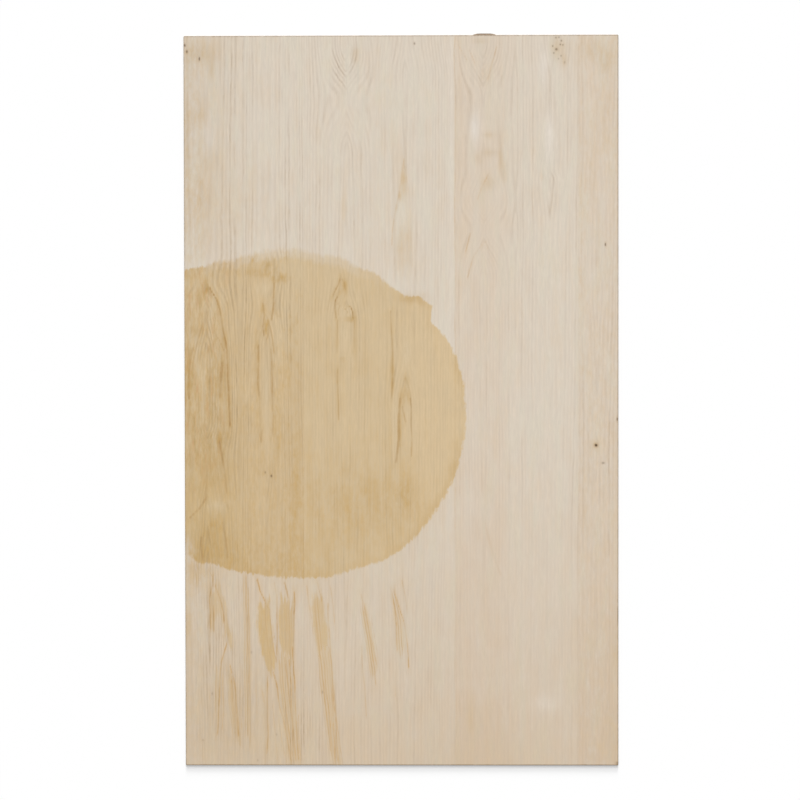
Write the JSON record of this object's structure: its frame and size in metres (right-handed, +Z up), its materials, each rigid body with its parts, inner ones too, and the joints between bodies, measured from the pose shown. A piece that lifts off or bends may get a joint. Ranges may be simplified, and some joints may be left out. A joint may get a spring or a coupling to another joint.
{
  "type": "wood veneer sheet",
  "caption": "Flat rectangular sheet of pale softwood veneer, its leaves spliced edge to edge, marked by a large round ochre stain with runs below it; raw facing stock.",
  "frame": {"origin": "on the glue face (underside), midway between the two long edges and midway between the two trimmed ends", "axes": "+X across the grain towards the narrow leaf, +Y along the grain towards the head end that carries the small tongue of fibre, +Z up out of the show face"},
  "size_m": [0.6, 1.0122, 0.003],
  "materials": {
    "veneer": "matte"
  },
  "bodies": {
    "root": {"left_leaf": "veneer", "wide_leaf": "veneer", "figured_leaf": "veneer", "narrow_leaf": "veneer"}
  },
  "joints": []
}
